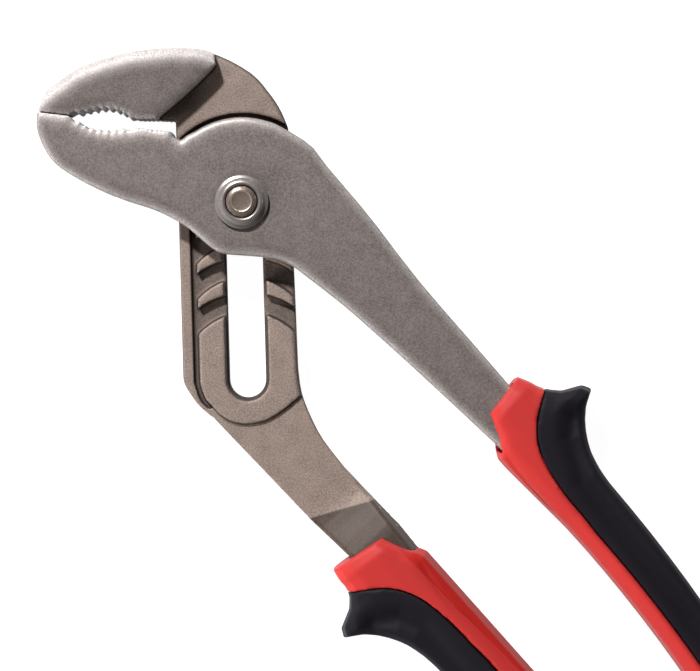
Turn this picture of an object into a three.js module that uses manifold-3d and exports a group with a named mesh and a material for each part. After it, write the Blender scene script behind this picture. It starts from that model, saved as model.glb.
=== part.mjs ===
// Groove-joint plumbing pliers, lying flat with the jaws closed at their smallest setting.
// Millimetres. The origin is where the pivot axis meets the flat underside of the bolt head,
// +Z runs up the bolt to its nut and +Y runs along the slot towards the jaws.
import * as THREE from 'three';
import { mergeVertices } from 'three/addons/utils/BufferGeometryUtils.js';
import Module from 'manifold-3d';

const wasm = await Module();
wasm.setup();

// Clearances and cutting
const runningGap = 0.3;
const overrun = 4;
const edgeChamfer = 0.8;

// Levels of the two forgings, counted up from the underside of the bolt head
const boltHeadHeight = 3;
const plateThickness = 5.9;
const rearBack = boltHeadHeight + runningGap;
const rearLand = rearBack + plateThickness;
const frontBack = rearLand + runningGap;
const frontTop = frontBack + plateThickness;

// Jaws, measured from the pivot axis
const jawReach = 54.4;
const gripLineHeight = 25.2;
const jawCrownHeight = 42.2;
const jawTipGap = 0.3;
const crownRoundWidth = 5.5;
const crownRoundDepth = 3.2;
const mouthDepth = 6.1;
const pipeToothPitch = 2.1;
const upperToothDepth = 1.35;
const lowerToothDepth = 0.9;
const flatToothPitch = 1.25;
const flatToothDepth = 0.5;

// Slot, its settings and the grooves of the rear forging
const settings = 6;
const settingPitch = 9.48;
const slideTravel = (settings - 1) * settingPitch;
const jawOpeningAngle = 60;
const slotWidth = 9.8;
const slotMouthWidth = 11.4;
const grooveMeanRadius = 20.5;
const grooveWidth = 5.2;
const grooveDepth = 2.6;
const topGrooveExtra = 1.1;
const flankToPivot = 17.5;
const plateToPivot = 13.7;
const railWidth = 3.1;
const channelWidth = 1.4;
const slotEndWall = 7.3;

// Tongue on the back of the front forging. The real one reaches down into a groove. This one is
// cut short above the lands, because the slide and the hinge move on their own.
const tongueWidth = 4.4;
const tongueHeight = 0.2;
const tongueStartAngle = 76;
const tongueEndAngle = 118;
const railDrop = 1.2;

// Front forging
const headRadius = 22.8;
const headDrop = 15;
const shoulderGap = 0.4;
const frontBarAngle = -45;
const frontBarLength = 85;
const frontBarSpread = 24;
const frontBarInGrip = 12;

// Rear forging below the slot
const rearBarAngle = -48;
const rearBarLength = 49.4;
const rearBarWidth = 16.4;
const rearBarOffset = -2.4;
const rearJogStart = 37;
const rearJogLength = 16;
const rearBarTaper = 1.4;
const rearBarFlank = 1.7;

// Tangs inside the grips
const tangThickness = 6;
const tangStartWidth = 10.6;
const tangEndWidth = 6.5;
const tangLength = 88;
const tangJogLength = 14;

// Bolt and nut
const boltHeadRadius = 9;
const boltChamfer = 0.6;
const shankRadius = 4.7;
const neckRadius = 4.1;
const boltEndDome = 0.5;
const boltEndRim = 1.3;
const nutFlangeRadius = 7.2;
const nutFlangeHeight = 0.8;
const nutTopRadius = 5.6;
const nutHeight = 2.6;
const boltEndStand = 0.5;

// Grips
const gripThickness = 18.7;
const gripLength = 112;
const gripOuterHalf = 9;
const gripTaper = 2;
const frontGripInnerHalf = 7.9;
const rearGripInnerHalf = 10.1;
const frontGripAngle = -50;
const rearGripAngle = -49.5;
const frontGripOffset = 1.2;
const rearGripOffset = -1;
const frontGripBow = 2.6;
const rearGripBow = -0.6;
const frontGripFlange = 1.2;
const rearGripFlange = 3.1;
const frontNoseFlare = 1.5;
const rearNoseFlare = 0.2;
const frontNoseSwell = 0;
const rearNoseSwell = 3;
const noseSkew = 2.8;
const guardRise = 13.4;
const guardPlace = 15.4;
const guardLength = 30;
const coverThickness = 2.4;
const noseLength = 12;
const nearRingSpacing = 2.5;
const farRingSpacing = 8;
const gripEndRun = 10;

const gripMid = gripThickness / 2;

const point = (x, y) => new THREE.Vector2(x, y);
const radians = THREE.MathUtils.degToRad;

// Turns a closed three.js geometry into a solid that can be joined and cut
function solidOf(geometry) {
  const bare = new THREE.BufferGeometry();
  bare.setAttribute('position', geometry.getAttribute('position').clone());
  if (geometry.index) bare.setIndex(geometry.index.clone());
  const merged = mergeVertices(bare, 1e-5);
  const mesh = new wasm.Mesh({
    numProp: 3,
    vertProperties: new Float32Array(merged.getAttribute('position').array),
    triVerts: new Uint32Array(merged.index.array),
  });
  return new wasm.Manifold(mesh);
}

function geometryOf(solid) {
  const mesh = solid.getMesh();
  const geometry = new THREE.BufferGeometry();
  geometry.setAttribute('position', new THREE.BufferAttribute(mesh.vertProperties, 3));
  geometry.setIndex(new THREE.BufferAttribute(mesh.triVerts, 1));
  geometry.computeVertexNormals();
  return geometry;
}

// Closed skin over a row of rings with equal point counts, with both ends closed by the same faces
function skin(rings, capFaces) {
  const count = rings[0].length;
  const positions = rings.flat().flatMap((p) => [p.x, p.y, p.z]);
  const index = [];
  for (let i = 0; i < rings.length - 1; i += 1) {
    for (let j = 0; j < count; j += 1) {
      const a = i * count + j;
      const b = i * count + ((j + 1) % count);
      index.push(a, b, b + count, a, b + count, a + count);
    }
  }
  const last = (rings.length - 1) * count;
  for (const [a, b, c] of capFaces) {
    index.push(a, c, b);
    index.push(last + a, last + b, last + c);
  }
  const geometry = new THREE.BufferGeometry();
  geometry.setAttribute('position', new THREE.Float32BufferAttribute(positions, 3));
  geometry.setIndex(index);
  return solidOf(geometry);
}

// The same outline drawn in by one distance, corner by corner
function insetOutline(outline, distance) {
  const count = outline.length;
  return outline.map((p, i) => {
    const before = p.clone().sub(outline[(i + count - 1) % count]).normalize();
    const after = outline[(i + 1) % count].clone().sub(p).normalize();
    const normal = point(-before.y - after.y, before.x + after.x).normalize();
    const lean = Math.max(0.6, -before.y * normal.x + before.x * normal.y);
    return p.clone().addScaledVector(normal, distance / lean);
  });
}

// A flat outline made thick between two levels, with an optional chamfer round both faces
function prism(points, low, high, chamfer = 0) {
  const outline = THREE.ShapeUtils.isClockWise(points) ? [...points].reverse() : points;
  const faces = THREE.ShapeUtils.triangulateShape(outline, []);
  const ring = (line, z) => line.map((p) => new THREE.Vector3(p.x, p.y, z));
  if (chamfer === 0) return skin([ring(outline, low), ring(outline, high)], faces);
  const inset = insetOutline(outline, chamfer);
  const sides = [ring(outline, low + chamfer), ring(outline, high - chamfer)];
  return skin([ring(inset, low), ...sides, ring(inset, high)], faces);
}

// Closed skin over convex rings, such as the sections of a bar or a grip
function loft(rings) {
  const faces = [];
  for (let j = 1; j < rings[0].length - 1; j += 1) faces.push([0, j, j + 1]);
  return skin(rings, faces);
}

function lathe(profile, sides = 36) {
  const geometry = new THREE.LatheGeometry(profile.map(([r, z]) => new THREE.Vector2(r, z)), sides);
  geometry.rotateX(Math.PI / 2);
  return solidOf(geometry);
}

const smooth = (points, steps) => new THREE.SplineCurve(points).getPoints(steps);
const sized = (shares, width, height, base = 0) =>
  shares.map(([x, y]) => point(x * width, base + y * height));

function arc(radius, from, to, steps, centreX = 0, centreY = 0) {
  const points = [];
  for (let i = 0; i <= steps; i += 1) {
    const angle = radians(from + ((to - from) * i) / steps);
    points.push(point(centreX + radius * Math.cos(angle), centreY + radius * Math.sin(angle)));
  }
  return points;
}

// A frame that runs along a handle: across is positive to the left of its direction
function handleFrame(origin, angle) {
  const along = point(Math.cos(radians(angle)), Math.sin(radians(angle)));
  const across = point(-along.y, along.x);
  const at = (s, n) => origin.clone().addScaledVector(along, s).addScaledVector(across, n);
  return { along, across, at };
}

// Sawtooth line along a curve, with each crest lifted off it to one side
function toothed(curve, pitch, depth, side) {
  const teeth = Math.max(2, Math.round(curve.getLength() / pitch));
  const line = [];
  for (let i = 0; i <= 2 * teeth; i += 1) {
    const u = i / (2 * teeth);
    const p = curve.getPointAt(u);
    const t = curve.getTangentAt(u);
    const lift = i % 2 === 1 ? depth * side : 0;
    line.push(point(p.x - t.y * lift, p.y + t.x * lift));
  }
  return line;
}

// Grip edges of the jaws, tip to heel, as shares of jaw reach and of mouth depth below the grip line
const tipEndShare = -0.842;
const upperArchShares = [[-0.81, 0.08], [-0.735, 0.25], [-0.665, 0.3], [-0.6, 0.2], [-0.55, 0]];
const upperMouthShares = [...upperArchShares, [-0.513, -0.26]];
const lowerMouthShares = [[-0.812, -0.42], [-0.76, -0.72], [-0.695, -0.89], [-0.62, -0.93], [-0.555, -0.85]];
const upperHeelShare = -0.38;
const lowerHeelShare = -0.8;
const lowerHeelDropShare = -1.12;
const tipSlopeShare = 0.1;

function upperGripLine() {
  const mouth = sized(upperMouthShares, jawReach, mouthDepth, gripLineHeight);
  const heelStart = mouth[mouth.length - 1];
  const heelEnd = point(-flankToPivot + overrun, gripLineHeight + mouthDepth * upperHeelShare);
  const tipY = gripLineHeight + jawTipGap / 2;
  return [
    point(-jawReach - overrun, tipY + mouthDepth * tipSlopeShare * 2),
    point(jawReach * tipEndShare, tipY - mouthDepth * tipSlopeShare),
    ...toothed(new THREE.SplineCurve(mouth), pipeToothPitch, upperToothDepth, -1),
    ...toothed(new THREE.LineCurve(heelStart, heelEnd), flatToothPitch, flatToothDepth, -1).slice(1),
  ];
}

function lowerGripLine() {
  const mouth = sized(lowerMouthShares, jawReach, mouthDepth, gripLineHeight);
  const heelStart = point(jawReach * -0.514, gripLineHeight + mouthDepth * lowerHeelShare);
  const heelEnd = point(-flankToPivot + overrun, gripLineHeight + mouthDepth * lowerHeelDropShare);
  const tipY = gripLineHeight - jawTipGap / 2;
  return [
    point(-jawReach - overrun, tipY + mouthDepth * tipSlopeShare * 2),
    point(jawReach * tipEndShare, tipY - mouthDepth * tipSlopeShare),
    ...toothed(new THREE.SplineCurve(mouth), pipeToothPitch, lowerToothDepth, 1),
    ...toothed(new THREE.LineCurve(heelStart, heelEnd), flatToothPitch, flatToothDepth, 1),
  ];
}

// Rear forging: upper jaw, joint plate, bar and tang
const crownShares = [
  [-1, -0.1], [-0.993, 0.06], [-0.956, 0.36], [-0.899, 0.5], [-0.801, 0.7], [-0.706, 0.815],
  [-0.61, 0.9], [-0.515, 0.96], [-0.324, 1], [-0.134, 0.923],
  [0.053, 0.601], [0.145, 0.268], [0.2, -0.012], [0.235, -0.29],
];
const cliffShares = [
  [-0.121, 0.9], [-0.117, 0.77], [-0.124, 0.67], [-0.243, 0.31], [-0.348, 0.03], [-0.405, -0.11],
];

const jawRise = jawCrownHeight - gripLineHeight;
const slotEnd = -(slideTravel + runningGap + slotWidth / 2);
const rearFrame = handleFrame(point(0, slotEnd), rearBarAngle);
const frontFrame = handleFrame(point(0, 0), frontBarAngle);

const landStart = -flankToPivot + railWidth + channelWidth;
const grooveFloor = rearLand - grooveDepth;
const railTop = rearLand - railDrop;
const grooveInner = grooveMeanRadius - grooveWidth / 2;
const grooveOuter = grooveMeanRadius + grooveWidth / 2;

function rearPlateOutline() {
  const turn = flankToPivot - slotEndWall;
  const left = -rearBarWidth / 2 + rearBarOffset;
  const right = rearBarWidth / 2 + rearBarOffset;
  const whole = smooth(sized(crownShares, jawReach, jawRise, gripLineHeight), 44);
  const crown = whole.filter((p) => p.x > -flankToPivot);
  const leftTurn = smooth([
    point(-flankToPivot, slotEnd + slotWidth * 0.58),
    point(-flankToPivot + turn * 0.07, slotEnd + slotWidth * 0.33),
    point(-flankToPivot + turn * 0.4, slotEnd - slotEndWall * 0.25),
    rearFrame.at(-slotEndWall * 0.3, left),
  ], 8);
  const rightTurn = smooth([
    rearFrame.at(rearJogStart * 0.85, right),
    rearFrame.at(rearJogStart * 0.6, right + rearBarWidth * 0.06),
    rearFrame.at(rearJogStart * 0.42, right + rearBarWidth * 0.17),
    point(plateToPivot + slotEndWall * 0.1, slotEnd + slotWidth * 0.1),
    point(plateToPivot, slotEnd + slotWidth * 0.78),
  ], 12);
  return [
    point(-flankToPivot, gripLineHeight),
    ...leftTurn,
    rearFrame.at(rearJogStart, left),
    rearFrame.at(rearJogStart, right),
    ...rightTurn,
    ...crown.reverse(),
  ];
}

function upperJawOutline() {
  const crown = smooth(sized(crownShares, jawReach, jawRise, gripLineHeight), 44);
  const cliff = smooth(sized(cliffShares, jawReach, jawRise, gripLineHeight), 14);
  const top = crown.filter((p) => p.x < cliff[0].x - edgeChamfer).reverse();
  const heel = cliff[cliff.length - 1];
  const under = gripLineHeight - mouthDepth;
  return [...top, point(-jawReach, under), point(heel.x, under), ...cliff.reverse()];
}

// Ring of a chamfered flat bar, from its two edges and its two faces. The flank on the right can
// stand out below the top face.
function barRing(frame, s, left, right, low, high, grow = 0, flank = 0) {
  const c = edgeChamfer;
  const a = left - grow;
  const b = right + grow;
  const l = low - grow;
  const h = high + grow;
  const under = [[a, l + c], [a + c, l], [b - c, l], [b + flank, l + c]];
  const section = [...under, [b, h - c], [b - c, h], [a + c, h], [a, h - c]];
  return section.map(([n, z]) => {
    const p = frame.at(s, n);
    return new THREE.Vector3(p.x, p.y, z);
  });
}

function tangRings(grip, start, bottom, top, grow) {
  const rings = [];
  const low = gripMid - tangThickness / 2;
  const high = gripMid + tangThickness / 2;
  for (const share of [0, 0.25, 0.5, 0.75, 1]) {
    const ease = share * share * (3 - 2 * share);
    const half = THREE.MathUtils.lerp(tangStartWidth, tangEndWidth, (share * tangJogLength) / tangLength) / 2;
    const s = start + share * tangJogLength;
    const l = THREE.MathUtils.lerp(bottom, low, ease);
    const h = THREE.MathUtils.lerp(top, high, ease);
    rings.push(barRing(grip.frame, s, -half, half, l, h, grow));
  }
  const half = tangEndWidth / 2;
  rings.push(barRing(grip.frame, start + tangLength + grow, -half, half, low, high, grow));
  return grip.side > 0 ? rings : rings.map((ring) => ring.reverse());
}

function rearBarRings(grow = 0) {
  const left = -rearBarWidth / 2 + rearBarOffset;
  const right = rearBarWidth / 2 + rearBarOffset;
  const rings = [];
  const low = gripMid - tangThickness / 2;
  const high = gripMid + tangThickness / 2;
  const steps = [0, 0.15, 0.35, 0.6, 0.85, 1];
  rings.push(barRing(rearFrame, rearJogStart - runningGap, left, right, rearBack, railTop, grow));
  for (const share of steps) {
    const ease = share * share * (3 - 2 * share);
    const l = THREE.MathUtils.lerp(rearBack, low, ease);
    const h = THREE.MathUtils.lerp(railTop, high, ease);
    const inner = right - rearBarTaper * share;
    const outer = left + rearBarTaper * share * 0.8;
    const place = rearJogStart + share * rearJogLength;
    rings.push(barRing(rearFrame, place, outer, inner, l, h, grow, rearBarFlank * share));
  }
  const end = rearBarLength + noseLength;
  const inner = right - rearBarTaper * 1.5;
  rings.push(barRing(rearFrame, end, left + rearBarTaper * 1.4, inner, low, high, grow, rearBarFlank));
  return rings;
}

// Arc grooves of every setting, cut down from the land
function grooves() {
  const cuts = [];
  const far = flankToPivot + plateToPivot;
  for (let i = 0; i < settings; i += 1) {
    const centre = -i * settingPitch;
    const outer = i === 0 ? grooveOuter + topGrooveExtra : grooveOuter;
    const ring = [
      ...arc(outer, 0, 180, 36, 0, centre),
      ...arc(grooveInner, 180, 0, 36, 0, centre),
    ];
    const band = prism(ring, grooveFloor, rearLand + overrun);
    const startX = i === 0 ? -far : landStart - channelWidth;
    const below = [point(startX, centre), point(far, centre)];
    const window = [...below, point(far, centre + far), point(startX, centre + far)];
    cuts.push(band.intersect(prism(window, rearBack, frontTop)));
  }
  return cuts.reduce((all, cut) => all.add(cut));
}

// Angle about the slot's low end in degrees, and distance from it in shares of the wall round it
const landEndShares = [[202, 1.036], [217, 0.99], [234, 1], [250, 1.005], [267, 0.99], [287, 0.995],
  [305, 1.01], [322, 1.065], [334, 1.147], [341, 1.228]];

// Outline of the raised land round the slot, open towards the jaws
function landOutline() {
  const wall = slotEndWall + slotWidth / 2;
  const centre = slotEnd + slotWidth / 2;
  const right = plateToPivot + overrun;
  const end = landEndShares.map(([angle, share]) => arc(wall * share, angle, angle, 1, 0, centre)[0]);
  return [
    point(landStart, gripLineHeight),
    ...smooth([point(landStart, centre - slotWidth * 0.06), ...end], 26),
    point(right, centre - wall * 0.3),
    point(right, gripLineHeight),
  ];
}

// Width of the channel beside the first points of the land's end, in shares of its full width
const channelEndShares = [0.95, 0.65, 0.1];

// Outline of the channel between rail and land, which runs out where it follows the land round
function channelOutline() {
  const wall = slotEndWall + slotWidth / 2;
  const centre = slotEnd + slotWidth / 2;
  const end = channelEndShares.map((width, i) => {
    const [angle, share] = landEndShares[i];
    return arc(wall * share + channelWidth * width, angle, angle, 1, 0, centre)[0];
  });
  const left = landStart - channelWidth;
  return [
    point(left, grooveInner * 0.9),
    ...smooth([point(left, centre - slotWidth * 0.06), ...end], 12),
    point(landStart + channelWidth, centre),
    point(landStart + channelWidth, grooveInner * 0.9),
  ];
}

// What is left under the broad rounding of the crown, drawn in towards a point inside the jaw
const crownRoundShares = [[-0.15, -1.4], [0.1, -0.66], [0.28, -0.36], [0.58, -0.12], [1, 0]];

function crownBody() {
  const crown = smooth(sized(crownShares, jawReach, jawRise, gripLineHeight), 44);
  const upper = crown.filter((p) => p.y > gripLineHeight + jawRise * 0.3 && p.x < 0);
  const last = upper[upper.length - 1];
  const line = [
    point(-jawReach - crownRoundWidth * 1.3, 0),
    point(-jawReach - crownRoundWidth, gripLineHeight),
    ...upper,
    point(jawReach, last.y),
    point(jawReach, 0),
  ].reverse();
  const centre = point(-jawReach * 0.45, gripLineHeight * 0.4);
  const ring = (inset, z) => line.map((p) => {
    const inward = centre.clone().sub(p).normalize();
    return new THREE.Vector3(p.x + inward.x * inset, p.y + inward.y * inset, z);
  });
  const rounded = crownRoundShares.map(([x, y]) => ring(x * crownRoundWidth, frontTop + y * crownRoundDepth));
  const under = ring(crownRoundShares[0][0] * crownRoundWidth, rearBack - overrun);
  return skin([under, ...rounded], THREE.ShapeUtils.triangulateShape(line, []));
}

function rearForging(grip) {
  const plate = prism(rearPlateOutline(), rearBack, rearLand, edgeChamfer);
  const jaw = prism(upperJawOutline(), rearBack, frontTop, edgeChamfer).intersect(crownBody());
  const far = flankToPivot + overrun;

  // What lies lower than the land: the bar side first, then rail and channel beside the land
  const belowTopGroove = [point(-far, slotEnd - jawReach), point(jawReach, slotEnd - jawReach),
    point(jawReach, edgeChamfer), point(-far, edgeChamfer)];
  const land = prism(landOutline(), rearBack, rearLand + overrun);
  const lowArea = prism(belowTopGroove, railTop, rearLand + overrun).subtract(land);
  const sweepRadius = grooveOuter + topGrooveExtra;
  const sweep = prism([point(0, 0), ...arc(sweepRadius, 90, 180, 18)], railTop, rearLand + overrun);
  const besideLand = [point(-far, 0), point(landStart, 0), point(landStart, sweepRadius),
    point(-far, sweepRadius)];
  const railTopArea = sweep.intersect(prism(besideLand, railTop, rearLand + overrun));
  const channel = prism(channelOutline(), grooveFloor, rearLand + overrun).subtract(land);

  const slotTop = runningGap;
  const slotLow = slotEnd + slotWidth / 2;
  const half = slotWidth / 2;
  const slot = [...arc(half, 0, 180, 16, 0, slotTop), ...arc(half, 180, 360, 16, 0, slotLow)];
  const mouthHalf = slotMouthWidth / 2;
  const mouth = [...arc(mouthHalf, 0, 180, 16, 0, slotTop), ...arc(mouthHalf, 180, 360, 16, 0, slotLow)];

  const tangLow = gripMid - tangThickness / 2;
  const gripCut = [...upperGripLine(), point(-flankToPivot + overrun, -overrun),
    point(-jawReach - overrun, -overrun)];
  const jawCut = jaw.subtract(prism(gripCut, rearBack - overrun, frontTop + overrun));
  const above = gripLineHeight + jawRise * 2;
  const keep = [point(-flankToPivot, above), point(-jawReach * 2, above),
    point(-jawReach * 2, -overrun), point(-flankToPivot, -overrun)];
  const heelCut = prism(gripCut, rearBack - overrun, frontTop + overrun).intersect(
    prism(keep, rearBack - overrun, frontTop + overrun),
  );
  const heel = prism([point(-flankToPivot + overrun, gripLineHeight - mouthDepth * 0.2),
    point(-flankToPivot + overrun, gripLineHeight + jawRise * 0.7),
    point(-jawReach * 0.45, gripLineHeight + jawRise * 0.7),
    point(-jawReach * 0.45, gripLineHeight - mouthDepth * 1.2),
    point(-flankToPivot, gripLineHeight - mouthDepth * 1.2)], rearBack, rearLand).subtract(heelCut);

  return plate
    .subtract(lowArea)
    .subtract(railTopArea)
    .add(heel)
    .subtract(channel)
    .subtract(grooves())
    .add(jawCut)
    .subtract(prism(slot, rearBack - overrun, rearLand + overrun))
    .subtract(prism(mouth, grooveFloor, rearLand + overrun))
    .add(loft(rearBarRings()))
    .add(loft(tangRings(grip, noseLength * 0.7, tangLow, tangLow + tangThickness, 0)));
}

// Front forging: lower jaw, head, bar and tang, with the tongue on its back
const lowerJawShares = [
  [-0.99, 1.1], [-1, 0.98], [-1.002, 0.86], [-0.982, 0.7], [-0.93, 0.5], [-0.845, 0.35], [-0.722, 0.197],
  [-0.583, 0.06],
  [-0.441, -0.05], [-0.347, -0.15], [-0.272, -0.255], [-0.208, -0.38], [-0.143, -0.5],
];
const headLowerShares = [[-0.086, -0.92], [0.03, -0.965], [0.108, -1], [0.185, -1.065], [0.257, -1.21]];
const barUpperShares = [[0.03, 0.99], [0.12, 0.945], [0.32, 0.867], [0.58, 0.721], [0.9, 0.608], [1.2, 0.5]];
const barLowerShares = [[0.4, -0.075], [0.53, -0.046], [0.8, -0.025], [1.2, -0.015]];

function frontPlateOutline() {
  const jaw = sized(lowerJawShares, jawReach, gripLineHeight);
  const head = sized(headLowerShares, jawReach, headDrop);
  const lower = smooth([...jaw, ...head], 60);
  const reach = (frontBarLength + frontBarInGrip) / frontBarLength;
  const inBar = ([s, n]) => frontFrame.at(s * frontBarLength, n * frontBarSpread);
  const lowerBar = smooth([lower[lower.length - 1], ...barLowerShares.map(inBar)], 14).slice(1);
  const upperBar = smooth([...arc(headRadius, 78, 62, 2), ...barUpperShares.map(inBar)], 20);
  const within = (p) => p.x * frontFrame.along.x + p.y * frontFrame.along.y < frontBarLength * reach;
  return [
    ...lower,
    ...lowerBar.filter(within),
    inBar([reach, -0.017]),
    inBar([reach, 0.55]),
    ...upperBar.filter(within).reverse(),
    ...arc(headRadius, 84, 122, 8),
    ...arc(headRadius * 1.02, 128, 131, 2),
    point(-flankToPivot + shoulderGap * 4, gripLineHeight * 0.68),
    point(-flankToPivot - shoulderGap, gripLineHeight * 0.72),
    point(-flankToPivot - shoulderGap, gripLineHeight * 1.1),
  ];
}

// The thick jaw ends at the rear forging's flank, and lower down on the same line turned to full opening
function lowerJawOutline() {
  const back = flankToPivot + shoulderGap;
  const open = radians(jawOpeningAngle);
  const corner = point(-back, (back * (1 - Math.cos(open))) / Math.sin(open));
  const jaw = smooth([...sized(lowerJawShares, jawReach, gripLineHeight)], 40);
  const clear = jaw.filter((p) => p.x * Math.cos(open) - p.y * Math.sin(open) < -back);
  return [...clear, corner, point(-back, gripLineHeight * 1.1)];
}

function frontForging(grip) {
  const plate = prism(frontPlateOutline(), frontBack, frontTop, edgeChamfer);
  const jaw = prism(lowerJawOutline(), rearBack, frontTop, edgeChamfer);
  const gripCut = [point(-jawReach - overrun, jawCrownHeight), ...lowerGripLine(),
    point(-flankToPivot + overrun, jawCrownHeight)];
  const cut = prism(gripCut, rearBack - overrun, frontTop + overrun);
  const tongue = prism([
    ...arc(grooveMeanRadius + tongueWidth / 2, tongueStartAngle, tongueEndAngle, 12),
    ...arc(grooveMeanRadius - tongueWidth / 2, tongueEndAngle, tongueStartAngle, 12),
  ], frontBack - tongueHeight, frontBack + edgeChamfer * 2);
  const hole = prism(arc(neckRadius + runningGap, 0, 350, 35), rearBack, frontTop + overrun);
  const tangStart = frontBarInGrip - overrun;
  return plate
    .add(jaw)
    .subtract(cut)
    .add(tongue)
    .subtract(hole)
    .add(loft(tangRings(grip, tangStart, frontBack, frontTop, 0)));
}

function bolt() {
  const top = frontTop + runningGap + nutHeight + boltEndStand;
  const r = boltHeadRadius;
  const c = boltChamfer;
  return lathe([[0, 0], [r - c, 0], [r, c], [r, boltHeadHeight - c], [r - c, boltHeadHeight],
    [shankRadius, boltHeadHeight], [shankRadius, rearLand], [neckRadius, rearLand],
    [neckRadius, top - boltEndDome], [neckRadius - boltEndRim, top], [0, top]]);
}

function nut() {
  const low = frontTop + runningGap;
  const bore = neckRadius + runningGap;
  const slope = nutFlangeRadius - nutTopRadius;
  return lathe([[bore, low], [nutFlangeRadius, low], [nutFlangeRadius, low + nutFlangeHeight],
    [nutTopRadius + slope * 0.3, low + nutFlangeHeight * 2], [nutTopRadius, low + nutHeight],
    [bore + boltChamfer, low + nutHeight], [bore, low + nutHeight - boltChamfer], [bore, low]]);
}

// Grips. Edges are given from the handle's centre line, mirrored for the rear handle.
const noseInnerShares = [
  [0, 0.45], [0.25, 0.5], [0.7, 0.7], [0.86, 0.78], [0.98, 0.95], [1.1, 1],
];
const guardShares = [
  [-0.52, 0.1], [-0.35, 0.17], [-0.26, 0.27], [-0.15, 0.49], [-0.09, 0.68], [-0.05, 0.97], [0.03, 1],
  [0.09, 0.72], [0.17, 0.52], [0.28, 0.33], [0.41, 0.16], [0.58, 0.05], [0.75, 0],
];
const boundaryShares = [
  [0.23, 0.63], [0.28, 0.48], [0.34, 0.33], [0.42, 0.18], [0.52, 0.06], [0.66, -0.12],
  [0.82, -0.28], [1, -0.38],
  [1.2, -0.4],
];

const gripEndShares = [[0.6, 0.98], [0.3, 0.9], [0.1, 0.74], [0, 0.55]];

function tableAt(table, x) {
  if (x <= table[0][0]) return table[0][1];
  for (let i = 1; i < table.length; i += 1) {
    const [x0, y0] = table[i - 1];
    const [x1, y1] = table[i];
    if (x <= x1) {
      const u = (x - x0) / (x1 - x0);
      return y0 + (y1 - y0) * u;
    }
  }
  return table[table.length - 1][1];
}

function makeGrip(origin, angle, side, size) {
  const frame = handleFrame(origin, angle);
  const sideFrame = { at: (s, n) => frame.at(s, side * n) };
  const bowAt = (s) => -size.bow * Math.max(0, (s - gripLength * 0.4) / (gripLength * 0.4)) ** 2;
  const guardAt = (s) => tableAt(guardShares, (s - guardPlace) / guardLength) * guardRise;
  const taper = (s) => -gripTaper * Math.max(0, (s - gripLength * 0.35) / (gripLength * 0.65));
  const swellAt = (s) => size.noseSwell * Math.max(0, 1 - s / (noseLength * 0.7)) + taper(s);
  const outerAt = (s) => gripOuterHalf + guardAt(s) + bowAt(s) + swellAt(s);
  const innerAt = (s) => {
    const settle = Math.min(1, Math.max(0, (s - noseLength * 1.4) / (noseLength * 2)));
    const flare = size.noseFlare * (1 - settle);
    return -(size.innerHalf + flare) * tableAt(noseInnerShares, s / noseLength) + bowAt(s);
  };
  return { frame: sideFrame, side, guardAt, outerAt, innerAt, bowAt, swellAt, ...size };
}

// Ring of a grip at one place along it, drawn in by shrink on all sides
function gripRing(grip, s, shrink, scale, withGuard) {
  const outer = (withGuard ? grip.outerAt(s) : gripOuterHalf + grip.bowAt(s) + grip.swellAt(s)) - shrink;
  const inner = grip.innerAt(s) + shrink;
  const centre = grip.bowAt(s);
  const guard = withGuard ? grip.guardAt(s) / guardRise : 0;
  const ring = [];
  const count = 16;
  for (let k = 0; k < count; k += 1) {
    const angle = (2 * Math.PI * k) / count;
    const c = Math.cos(angle);
    const w = Math.sin(angle);
    const power = c > 0 ? THREE.MathUtils.lerp(0.5, 0.85, guard) : 0.55;
    const half = c > 0 ? outer - centre : centre - inner;
    const slope = c < 0 && w > 0 ? 1 - (grip.flange / grip.innerHalf) * w : 1;
    const m = centre + Math.sign(c) * Math.abs(c) ** power * half * slope * scale;
    const rise = (gripMid - shrink) * Math.sign(w) * Math.abs(w) ** 0.5 * scale;
    const skew = noseSkew * Math.max(0, 1 - s / noseLength) * ((outer - m) / (outer - inner));
    const p = grip.frame.at(s + skew, m);
    ring.push(new THREE.Vector3(p.x, p.y, gripMid + rise));
  }
  return grip.side > 0 ? ring : ring.reverse();
}

function gripBody(grip, shrink, withGuard) {
  const guardEnd = guardPlace + guardLength * 0.8;
  const places = [];
  for (let s = coverThickness * 1.5; s < guardEnd; s += nearRingSpacing) places.push(s);
  for (let s = guardEnd; s < gripLength - gripEndRun; s += farRingSpacing) places.push(s);
  const rings = [gripRing(grip, shrink, shrink, 0.9, withGuard)];
  for (const s of places) rings.push(gripRing(grip, s, shrink, 1, withGuard));
  for (const [back, scale] of gripEndShares) {
    rings.push(gripRing(grip, gripLength - shrink - back * gripEndRun, shrink, scale, withGuard));
  }
  return loft(rings);
}

// Line between the two colours, from the guard side of the nose to the far end
function boundaryLine(grip, shift) {
  const acrossAt = (m) => m * (m > 0 ? guardRise * 1.5 : gripOuterHalf * 0.7);
  const line = smooth(boundaryShares.map(([s, m]) => point(s * guardLength * 1.1, acrossAt(m))), 20);
  const tail = [];
  for (let s = guardLength * 1.5; s < gripLength - coverThickness * 3; s += farRingSpacing) {
    tail.push(point(s, -gripOuterHalf * 0.32 + grip.bowAt(s)));
  }
  return [...line, ...tail].map((p) => grip.frame.at(p.x, p.y + shift));
}

function innerRegion(grip, shift) {
  const line = boundaryLine(grip, shift);
  const far = gripOuterHalf + guardRise * 2;
  const endPlace = gripLength - coverThickness * 2.5 + shift;
  const region = [
    ...line,
    grip.frame.at(endPlace, -gripOuterHalf * 0.6 + shift + grip.bowAt(gripLength)),
    grip.frame.at(gripLength - coverThickness * 2 + shift, -far),
    grip.frame.at(-overrun * 2, -far),
    grip.frame.at(-overrun * 2, far),
    grip.frame.at(guardLength * 0.2 + shift, far),
  ];
  const flat = grip.side > 0 ? region.reverse() : region;
  return prism(flat, -overrun, gripThickness + overrun);
}

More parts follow.
